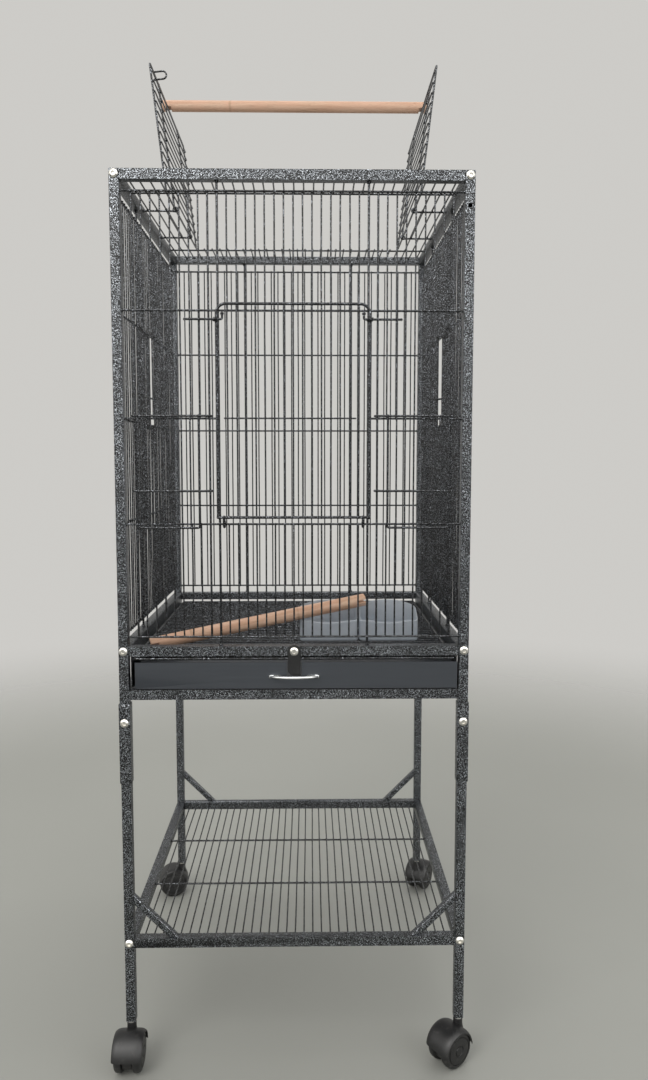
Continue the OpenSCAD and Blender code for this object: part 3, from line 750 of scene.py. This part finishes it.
def slide_door(node, face, first, row_up, flip):
    at_face, door = FACES[face], Wires()

    def at(across, out, up):
        return at_face(first + across, out, row_up + up)

    wide = SPAN - PITCH - 5.7
    left = SPAN - 4.3 - wide if flip else 4.3
    frame_path = [at(left, SLIDE_OUT, TOP_BAR + 1.5), at(left, SLIDE_OUT, -4.5),
                  at(left + wide, SLIDE_OUT, -4.5), at(left + wide, SLIDE_OUT, TOP_BAR + 1.5)]
    door.wire(bent(frame_path, 2.5), 3.0, 0.0)
    for up in (MID_BAR, TOP_BAR):
        eye_bar(door, at, up)
        for across in (left, left + wide):
            door.weld(at(across, SLIDE_OUT, up), 2.0)
    count = int(wide // PITCH)
    for i in range(1, count + 1):
        across = left + i * wide / (count + 1)
        door.wire([at(across, SLIDE_OUT, -4.5), at(across, SLIDE_OUT, TOP_BAR)], THIN, 0.25)
        for up in (-4.5, MID_BAR, TOP_BAR):
            door.weld(at(across, SLIDE_OUT, up), 1.75)
    return door.piece(node)


slide_door("feeder_door_left", "front", -17 * PITCH, ROWS[1], False)
slide_door("feeder_door_right", "front", 9 * PITCH, ROWS[1], True)
slide_door("side_door_right", "right", -6 * PITCH, ROWS[2], False)
slide_door("side_door_left", "left", -2 * PITCH, ROWS[2], True)
print("sliding doors:", made["feeder_door_left"], "triangles each")

# %% [markdown]
# ## Main door
# The big door drops forwards. Its frame is one thick wire bent round the top corners, and its two
# short legs are curled round a cross wire of the panel, which makes the hinge. Two latch rods slide
# in small coils on the door's sides and reach across in front of the panel.

# %% Main door and its latches
DOOR_OUT, DOOR_SIDE, DOOR_LOW, DOOR_HIGH = 5.8, 97.5, ROWS[1] + 9, ROWS[3] + 8
LATCH_OUT, LATCH_UP = 9.5, ROWS[3] - 12


def main_door():
    at, door = FACES["front"], Wires()
    corners = [at(-DOOR_SIDE, DOOR_OUT, DOOR_LOW), at(-DOOR_SIDE, DOOR_OUT, DOOR_HIGH),
               at(DOOR_SIDE, DOOR_OUT, DOOR_HIGH), at(DOOR_SIDE, DOOR_OUT, DOOR_LOW)]
    door.wire(bent(corners, 12.0, steps=10), THICK, 0.0)
    door.wire([at(-DOOR_SIDE, DOOR_OUT, DOOR_LOW), at(DOOR_SIDE, DOOR_OUT, DOOR_LOW)], THICK, 0.0)
    for side in (-1, 1):
        door.weld(at(side * DOOR_SIDE, DOOR_OUT, DOOR_LOW), 2.25)
        leg = [at(side * 90.0, DOOR_OUT, DOOR_LOW), at(side * 90.0, DOOR_OUT, ROWS[1] + 3)]
        for k in range(19):
            a = math.radians(-290 * k / 18)
            leg.append(at(side * 90.0, OUT + 3.38 * math.cos(a), ROWS[1] + 3.38 * math.sin(a)))
        door.wire(leg, THICK, 0.0)
        door.weld(at(side * 90.0, DOOR_OUT, DOOR_LOW), 2.4)
        door.wire(loop(at(side * DOOR_SIDE, LATCH_OUT, LATCH_UP), (1, 0, 0), 2.32, 90, 360 * 5, 7.6, 75), 1.35)
        door.weld(at(side * DOOR_SIDE, 7.4, LATCH_UP), 1.7)
    for step in range(-7, 8):
        door.wire([at(step * PITCH, DOOR_OUT, DOOR_LOW), at(step * PITCH, DOOR_OUT, DOOR_HIGH)], THIN, 0.5)
        for up in (DOOR_LOW, DOOR_HIGH):
            door.weld(at(step * PITCH, DOOR_OUT, up), 2.05)
        if step < 7:
            door.weld(at(step * PITCH, DOOR_OUT + 1.0, ROWS[2]), 1.5)
    door.wire([at(-DOOR_SIDE + 9, DOOR_OUT + 1.9, ROWS[2]), at(DOOR_SIDE - 17, DOOR_OUT + 1.9, ROWS[2])], THIN)
    return door.piece("main_door")


def latch(node, side):
    at, rod = FACES["front"], Wires()
    inner = side * (DOOR_SIDE - 7.8)
    path = [at(side * (DOOR_SIDE + 40), LATCH_OUT, LATCH_UP), at(inner, LATCH_OUT, LATCH_UP),
            at(inner, LATCH_OUT, LATCH_UP + 7)]
    rod.wire(bent(path, 2.2), 3.0)
    rod.weld(at(inner, LATCH_OUT, LATCH_UP + 7), 2.4)
    rod.weld(at(side * (DOOR_SIDE + 40), LATCH_OUT, LATCH_UP), 1.62)
    return rod.piece(node)


main_door()
latch("door_latch_left", -1)
latch("door_latch_right", 1)
print("main door:", made["main_door"], "latch:", made["door_latch_left"])

# %% [markdown]
# ## Roof
# Wires run from front to back over the roof, and the middle ones stop at a cross wire on each side
# of the opening. Short cross wires end in eyes that hold the flaps' hinge wires. Each flap is one
# bent frame with two stiffening wires and twelve thin ones; the left one has a hook on its edge.

# %% Fixed roof
ROOF, ROOF_PITCH, HINGE_STEP, EYE = 1180.0, 13.2, 13, 72.0
HINGE = HINGE_STEP * ROOF_PITCH
OPEN_HALF, FLAP_HALF, FLAP_LONG = 152.0, 147.0, HINGE - 3


def fixed_roof():
    roof = Wires()
    for step in range(-16, 17):
        across = step * ROOF_PITCH
        whole = abs(step) > HINGE_STEP
        spans = [(-INSIDE, INSIDE)] if whole else [(-INSIDE, -OPEN_HALF + 1), (OPEN_HALF - 1, INSIDE)]
        for a, b in spans:
            roof.wire([(across, a, ROOF), (across, b, ROOF)], THIN, 0.6)
        for side in (-1, 1):
            roof.weld((across, side * OPEN_HALF, ROOF - OUT / 2), 1.7)
            roof.weld((across, side * INSIDE, ROOF), 1.7)
            if whole:
                roof.weld((across, side * EYE, ROOF - OUT / 2), 1.7)
    for side in (-1, 1):
        roof.wire([(-INSIDE, side * OPEN_HALF, ROOF - OUT), (INSIDE, side * OPEN_HALF, ROOF - OUT)], CROSS, 0.2)
        edge = side * (HINGE_STEP + 1) * ROOF_PITCH
        roof.wire([(edge, -EYE, ROOF), (edge, EYE, ROOF)], 3.8)
        for end in (-1, 1):
            path = [Vector((side * INSIDE, end * EYE, ROOF - OUT)), Vector((side * (HINGE + 5), end * EYE, ROOF - OUT))]
            for k in range(19):
                a = math.radians(-90 - 285 * k / 18)
                path.append(Vector((side * (HINGE + 2.88 * math.cos(a)), end * EYE, ROOF + 2.88 * math.sin(a))))
            roof.wire(path, CROSS)
            roof.weld((side * INSIDE, end * EYE, ROOF - OUT), 2.2)
            roof.weld((side * INSIDE, end * OPEN_HALF, ROOF - OUT), 2.2)
    return roof.piece("roof_grille")


fixed_roof()

# %% Roof flaps
LEAN = math.radians(6.7)


def flap(node, side):
    """side is -1 for the left flap. It is laid out standing up, then leaned outwards."""
    work = Wires()

    def at(inward, along, up):
        x = inward * math.cos(LEAN) - up * math.sin(LEAN)
        z = inward * math.sin(LEAN) + up * math.cos(LEAN)
        return Vector((-side * x + side * HINGE, along, ROOF + z))

    corners = [at(0, -FLAP_HALF, 0), at(0, FLAP_HALF, 0), at(0, FLAP_HALF, FLAP_LONG), at(0, -FLAP_HALF, FLAP_LONG)]
    work.wire(bent(corners, 3.5, closed=True), CROSS, closed=True)
    uprights = (-FLAP_HALF, -EYE - 10, EYE + 10, FLAP_HALF)
    for along in uprights[1:3]:
        work.wire([at(0, along, 0), at(0, along, FLAP_LONG)], CROSS)
        for up in (0, FLAP_LONG):
            work.weld(at(0, along, up), 1.9)
    for i in range(1, HINGE_STEP):
        up = i * ROOF_PITCH
        work.wire([at(OUT, -FLAP_HALF, up), at(OUT, FLAP_HALF, up)], THIN, 0.55)
        for along in uprights:
            work.weld(at(OUT / 2, along, up), 1.65)
    if side < 0:
        low, along = (HINGE_STEP - 1) * ROOF_PITCH, -FLAP_HALF + 27
        middle, half = (low + FLAP_LONG) / 2, (FLAP_LONG - low) / 2
        hook = [at(0, along, low)]
        for k in range(11):
            a = math.radians(-90 + 18 * k)
            hook.append(at(12 + half * math.cos(a), along, middle + half * math.sin(a)))
        work.wire(hook + [at(0, along, FLAP_LONG)], 2.4)
        work.weld(at(0.4, along, low), 1.7)
        work.weld(at(0.4, along, FLAP_LONG), 1.7)
    return work.piece(node)


flap("roof_flap_left", -1)
flap("roof_flap_right", 1)
print("roof:", made["roof_grille"], "flap:", made["roof_flap_left"])

# %% [markdown]
# ## Floor grate and shelf
# The grate has a thick edge wire, thin wires from side to side and one stiffener under the middle.
# The shelf's wires run from front to back on two cross wires and are welded into its tubes.

# %% Grate and shelf
def floor_grate():
    work = Wires()
    side, front, back, up = 211.0, -226.8, 212.0, 561.1
    corners = [(-side, front, up), (side, front, up), (side, back, up), (-side, back, up)]
    work.wire(bent(corners, 3.0, closed=True), 3.6, closed=True)
    count = int((back - front) // PITCH)
    for i in range(1, count):
        y = front + i * (back - front) / count
        work.wire([(-side, y, up), (side, y, up)], THIN, 0.25)
        for x in (-side, side):
            work.weld((x, y, up), 1.95)
        work.weld((0, y, up - 0.9), 1.5)
    work.wire([(0, front, up - 1.9), (0, back, up - 1.9)], THIN)
    return work.piece("floor_grille")


def shelf():
    work = Wires()
    up = 165.0 + TUBE - 4
    count = int(2 * INSIDE // PITCH)
    for i in range(1, count):
        x = -INSIDE + i * 2 * INSIDE / count
        work.wire([(x, -INSIDE, up), (x, INSIDE, up)], THIN, 0.7)
        for y in (-INSIDE, INSIDE):
            work.weld((x, y, up), 1.7)
        for y in (-INSIDE / 3, INSIDE / 3):
            work.weld((x, y, up - OUT / 2), 1.65)
    for y in (-INSIDE / 3, INSIDE / 3):
        work.wire([(-INSIDE, y, up - OUT), (INSIDE, y, up - OUT)], CROSS, 0.2)
        for x in (-INSIDE, INSIDE):
            work.weld((x, y, up - OUT), 2.2)
    return work.piece("shelf_grille")


floor_grate()
shelf()
print("grate:", made["floor_grille"], "shelf:", made["shelf_grille"])

# %% [markdown]
# ## Perches
# The dowels keep the frame's shape. Their ends and notches get a small rounded edge, as sanding
# leaves, and the wood made for each.

# %% Perches
rounded_copy("top_perch", 0.9, "top perch wood", 3, every_edge=True)
rounded_copy("floor_perch", 0.9, "floor perch wood", 3, every_edge=True)
print("perches:", made["top_perch"], made["floor_perch"])

# %% [markdown]
# ## Seed cups
# A cup is a thin moulded tub with rounded corners. Its front is low and its rim sags in the middle,
# its sides climb, and its back is arched. One closed wall is lofted ring by ring: up the outside,
# over the rim, and down the inside to the floor.

# %% Seed cups
def cup_ring(wide, deep, inset, corner, count=9):
    """Points round a rounded rectangle, from the front left corner, in millimetres."""
    ring, radius = [], max(corner - inset, 0.6)
    for k, (cx, cy) in enumerate(((inset + radius, inset + radius), (wide - inset - radius, inset + radius),
                                  (wide - inset - radius, deep - inset - radius),
                                  (inset + radius, deep - inset - radius))):
        for i in range(count):
            a = math.radians(180 + 90 * k + 90 * i / (count - 1))
            ring.append((cx + radius * math.cos(a), cy + radius * math.sin(a)))
        nx, ny = ((cx, 0), (wide, cy), (cx, deep), (0, cy))[k]
    filled = []
    for i, a in enumerate(ring):
        b = ring[(i + 1) % len(ring)]
        gap = math.dist(a, b)
        parts = max(1, round(gap / 4.0))
        filled += [(a[0] + (b[0] - a[0]) * j / parts, a[1] + (b[1] - a[1]) * j / parts) for j in range(parts)]
    return filled


def cup_top(x, y, wide, deep, front=30.0, back=52.0):
    """Height of the rim above a point of the wall."""
    arch = back - 100 + math.sqrt(100 ** 2 - min(abs(x - wide / 2), 99) ** 2)
    climb = front + (back - front) * y / deep
    sag = max(0.0, 4.0 - (x - wide / 2) ** 2 / 190.0) * max(0.0, 1 - y / 6.0)
    return min(arch, climb) - sag


def seed_cup(node):
    low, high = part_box(node)
    wide, deep = (high[0] - low[0]) / MM, (high[1] - low[1]) / MM
    wall, foot, corner = 1.5, 3.0, 6.0
    rings = []
    for k in range(5):
        a = math.radians(90 * k / 4)
        rings.append([(x, y, foot - foot * math.cos(math.pi / 2 - a)) if False else
                      (x, y, foot * (1 - math.cos(a))) for x, y in cup_ring(wide, deep, foot * (1 - math.sin(a)), corner)])
    outer = cup_ring(wide, deep, 0.0, corner)
    inner = cup_ring(wide, deep, wall, corner)
    for share in (0.3, 0.55, 0.78, 0.93):
        rings.append([(x, y, foot + (cup_top(x, y, wide, deep) - foot) * share) for x, y in outer])
    rings.append([(x, y, cup_top(x, y, wide, deep) - 0.5) for x, y in outer])
    middle = cup_ring(wide, deep, 0.45, corner)
    rings.append([(x, y, cup_top(x, y, wide, deep)) for x, y in middle])
    middle = cup_ring(wide, deep, wall - 0.4, corner)
    rings.append([(x, y, cup_top(x, y, wide, deep)) for x, y in middle])
    for share in (0.97, 0.75, 0.5, 0.25):
        rings.append([(x, y, wall + 2 + (cup_top(x, y, wide, deep) - wall - 2.4) * share) for x, y in inner])
    for k in range(4):
        a = math.radians(90 * k / 3)
        rings.append([(x, y, wall + 2 * (1 - math.sin(a)))
                      for x, y in cup_ring(wide, deep, wall + 2 * (1 - math.cos(a)), corner)])
    length = min(len(r) for r in rings)
    print("cup ring sizes:", sorted({len(r) for r in rings}))
    bm = bmesh.new()
    grid = []
    for ring in rings:
        picked = [ring[round(i * len(ring) / length) % len(ring)] for i in range(length)]
        grid.append([bm.verts.new(Vector(low) + mm(*p)) for p in picked])
    for a, b in zip(grid, grid[1:]):
        for i in range(length):
            bm.faces.new((a[i], a[(i + 1) % length], b[(i + 1) % length], b[i]))
    bm.faces.new(grid[0][::-1])
    bm.faces.new(grid[-1])
    bmesh.ops.recalc_face_normals(bm, faces=bm.faces[:])
    bmesh.ops.triangulate(bm, faces=[f for f in bm.faces if len(f.verts) > 4])
    mesh = bpy.data.meshes.new(node + "_tub")
    bm.to_mesh(mesh)
    bm.free()
    for face in mesh.polygons:
        face.use_smooth = True
    mesh.set_sharp_from_angle(angle=math.radians(50))
    return stand_for(new_object(node + "_tub", mesh), node, "smoky plastic")


seed_cup("cup_left")
seed_cup("cup_right")

# %% [markdown]
# ## Casters
# A caster is a pair of wheels on one axle under a barrel shaped hood, with a stem that turns in the
# leg. The wheels are turned shapes, so their outline is spun round the axle. The hood is a shell bent
# over them, thick in the middle where it holds the axle.

# %% Casters and wheels
TRAIL, WHEEL = 16.0, 25.0
TURNS = {"front_left": (-1, -1, 0), "front_right": (1, -1, -53), "back_left": (-1, 1, -80), "back_right": (1, 1, 150)}
WHEEL_OUTLINE = ((7.7, 7.0), (7.7, 23.4), (8.4, 24.6), (9.6, 25.0), (13.6, 25.0), (15.4, 24.5), (16.9, 23.4),
                 (17.9, 21.6), (18.4, 19.6), (18.1, 18.9), (17.4, 18.7), (17.4, 17.9), (18.3, 17.5), (18.7, 16.0),
                 (18.9, 10.0), (18.6, 7.6), (17.9, 7.2), (17.9, 6.2), (18.9, 5.8), (19.2, 3.0), (19.25, 0.0))


def spin(bm, outline, steps=56):
    """Spins (x, radius) points round the X axis. A radius of 0 is one point."""
    rings = []
    for x, radius in outline:
        if radius < 1e-6:
            rings.append([bm.verts.new((x, 0, 0))])
        else:
            rings.append([bm.verts.new((x, radius * math.cos(math.tau * i / steps),
                                        radius * math.sin(math.tau * i / steps))) for i in range(steps)])
    for a, b in zip(rings, rings[1:]):
        for i in range(steps):
            j = (i + 1) % steps
            corners = [a[i % len(a)], a[j % len(a)], b[j % len(b)], b[i % len(b)]]
            unique = list(dict.fromkeys(corners))
            if len(unique) > 2:
                bm.faces.new(unique)
    return rings


def finish_caster(bm, name, node, which):
    side_x, side_y, turn = TURNS[which]
    bmesh.ops.remove_doubles(bm, verts=bm.verts[:], dist=1e-5)
    bmesh.ops.recalc_face_normals(bm, faces=bm.faces[:])
    place = (Matrix.Translation(mm(side_x * POST, side_y * POST, 0)) @ Matrix.Rotation(math.radians(turn), 4, "Z")
             @ Matrix.Scale(MM, 4))
    bm.transform(place)
    mesh = bpy.data.meshes.new(name)
    bm.to_mesh(mesh)
    bm.free()
    for face in mesh.polygons:
        face.use_smooth = True
    mesh.set_sharp_from_angle(angle=math.radians(38))
    return new_object(name, mesh)


def wheel_pair(which):
    bm = bmesh.new()
    for side in (-1, 1):
        spin(bm, [(side * x, r) for x, r in ((7.7, 0.0),) + WHEEL_OUTLINE])
    spin(bm, [(-9.0, 0.0), (-9.0, 3.0), (9.0, 3.0), (9.0, 0.0)], 24)
    bmesh.ops.translate(bm, verts=bm.verts[:], vec=(0, -TRAIL, WHEEL))
    node = "wheels_" + which
    return stand_for(finish_caster(bm, node + "_pair", node, which), node, "wheel plastic")


def hood_radius(x, base):
    return base - 3.1 * (abs(x) / 20.0) ** 6


def hood(which):
    bm = bmesh.new()
    half, across, around = 20.0, 28, 44
    sheets = []
    for base in (27.6, 26.05):
        sheet = []
        for i in range(across + 1):
            x = half * math.sin(math.radians(-90 + 180 * i / across))
            row = []
            for j in range(around + 1):
                a = math.radians(4 + 172 * j / around)
                r = hood_radius(x, base)
                row.append(bm.verts.new((x, r * math.cos(a), r * math.sin(a))))
            sheet.append(row)
        sheets.append(sheet)
    for sheet in sheets:
        for a, b in zip(sheet, sheet[1:]):
            for j in range(around):
                bm.faces.new((a[j], a[j + 1], b[j + 1], b[j]))
    outer, inner = sheets
    for i in range(across):
        for j in (0, around):
            bm.faces.new((outer[i][j], outer[i + 1][j], inner[i + 1][j], inner[i][j]))
    for i in (0, across):
        for j in range(around):
            bm.faces.new((outer[i][j], outer[i][j + 1], inner[i][j + 1], inner[i][j]))
    web = []
    for x, grow in ((-6.9, 0.0), (-6.2, 0.7), (6.2, 0.7), (6.9, 0.0)):
        ring = []
        for j in range(64):
            a = math.tau * j / 64
            r = 20.3 + 6.2 * min(1.0, max(0.0, (math.sin(a) - 0.02) * 9.0)) + grow
            ring.append(bm.verts.new((x, r * math.cos(a), r * math.sin(a))))
        web.append(ring)
    for a, b in zip(web, web[1:]):
        for j in range(64):
            bm.faces.new((a[j], a[(j + 1) % 64], b[(j + 1) % 64], b[j]))
    bm.faces.new(web[0])
    bm.faces.new(web[-1])
    bmesh.ops.translate(bm, verts=bm.verts[:], vec=(0, -TRAIL, WHEEL))
    neck = bmesh.new()
    spin(neck, [(30.0, 0.0), (30.0, 7.4), (44.0, 7.4), (47.5, 6.7), (50.0, 6.3), (57.6, 6.3), (58.4, 5.6),
                (58.4, 4.0), (87.0, 4.0), (88.0, 3.0), (88.0, 0.0)], 32)
    neck.transform(Matrix.Rotation(math.radians(-90), 4, "Y"))
    part = bpy.data.meshes.new("neck")
    neck.to_mesh(part)
    neck.free()
    bm.from_mesh(part)
    bpy.data.meshes.remove(part)
    node = "caster_" + which
    return stand_for(finish_caster(bm, node + "_hood", node, which), node, "caster plastic")


for which in TURNS:
    hood(which)
    wheel_pair(which)
print("hood:", made["caster_front_left"], "wheels:", made["wheels_front_left"])

# %% [markdown]
# ## Screws, washers, plugs and handle
# These small parts already have their true shape in the frame, with hexagon sockets in the screw
# heads, so they only get their metal or plastic.

# %% Finishes for parts kept from the frame
for name, coat in (("cage_bolts", "zinc plate"), ("stand_bolts", "zinc plate"), ("caster_washers", "zinc plate"),
                   ("tray_handle", "chrome plate"), ("leg_plugs", "caster plastic")):
    piece = frame["nodes"][name]
    for holder in piece.material_slots:
        holder.material = finishes[coat]
    print(name, "->", coat)

# %% [markdown]
# ## Floor, light and camera
# The floor is plain and pale, and fades into the pale surroundings so that no horizon shows. One
# wide soft light stands high at the front left, like daylight from a window, with a weak fill on the
# right. The camera stands 1.3 m in front at chest height and looks slightly down.

# %% Floor
def pale_floor(bench):
    here = bench.place()
    return {"Base Color": bench.blend(bench.noise(here, 1.5, 3.0), (0.385, 0.392, 0.365), (0.435, 0.442, 0.412)),
            "Roughness": 0.55,
            "Alpha": bench.node("ShaderNodeVectorMath", {"operation": "LENGTH"}, {0: here}).out("Value").over(2.7, 1.0)}


finish("pale floor", pale_floor)
disc = bmesh.new()
bmesh.ops.create_circle(disc, cap_ends=True, segments=96, radius=3.0)
ground = bpy.data.meshes.new("ground")
disc.to_mesh(ground)
disc.free()
ground.materials.append(finishes["pale floor"])
new_object("ground", ground)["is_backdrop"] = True

# %% Light
world = bpy.data.worlds.new("pale room")
bpy.context.scene.world = world
world.use_nodes = True
backdrop = world.node_tree.nodes["Background"]
sky = Bench(world.node_tree)
look = sky.node("ShaderNodeSeparateXYZ", {}, {0: sky.node("ShaderNodeTexCoord").out("Generated")})
rise, ahead = look.out("Z"), look.out("Y")
plain = sky.blend(0.0, (0.61, 0.60, 0.575), (0, 0, 0))
front = sky.blend(rise.over(-0.22, 0.36), (0.035, 0.037, 0.037), (2.5, 2.47, 2.4))
mirrored = sky.blend(ahead.over(-0.2, 0.15), front, plain)
shade = sky.blend(sky.node("ShaderNodeLightPath").out("Is Glossy Ray"), plain, mirrored)
world.node_tree.links.new(shade.socket, backdrop.inputs["Color"])


def soft_light(name, size, power, spot, target, colour=(1, 1, 1)):
    lamp = bpy.data.lights.new(name, "AREA")
    lamp.shape, lamp.size, lamp.energy, lamp.color = "DISK", size, power, colour
    obj = new_object(name, lamp)
    obj.location = spot
    obj.rotation_euler = (Vector(target) - Vector(spot)).to_track_quat("-Z", "Y").to_euler()
    return obj


soft_light("window", 1.8, 32.0, (-1.5, -2.2, 2.6), (0, 0, 0.8), (1.0, 0.98, 0.95))
soft_light("fill", 2.2, 8.0, (2.2, -1.6, 1.6), (0, 0, 0.7), (0.93, 0.96, 1.0))
soft_light("ceiling", 2.4, 14.0, (0.3, 0.6, 3.0), (0, 0, 0.9))
bpy.context.scene.view_settings.view_transform = "Standard"

# %% Camera
lens = bpy.data.cameras.new("camera")
lens.sensor_width, lens.lens, lens.shift_y = 36.0, 27.66, -0.0083
camera = new_object("camera", lens)
camera.location = (0.0212, -1.3021, 0.8209)
camera.rotation_euler = Euler((math.radians(90 - 4.867), 0, math.radians(-0.96)))
bpy.context.scene.camera = camera

# %% [markdown]
# ## Check and finish
# The visual model has to stay the size of the frame, so both boxes are written down and compared.

# %% Compare the boxes and finish
low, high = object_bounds()
growth = [round((v - c) / MM, 2) for v, c in zip((*low, *high), (*cad_low, *cad_high))]
print("visual box minus frame box, mm:", growth)
print("triangles in made pieces:", sum(made.values()))
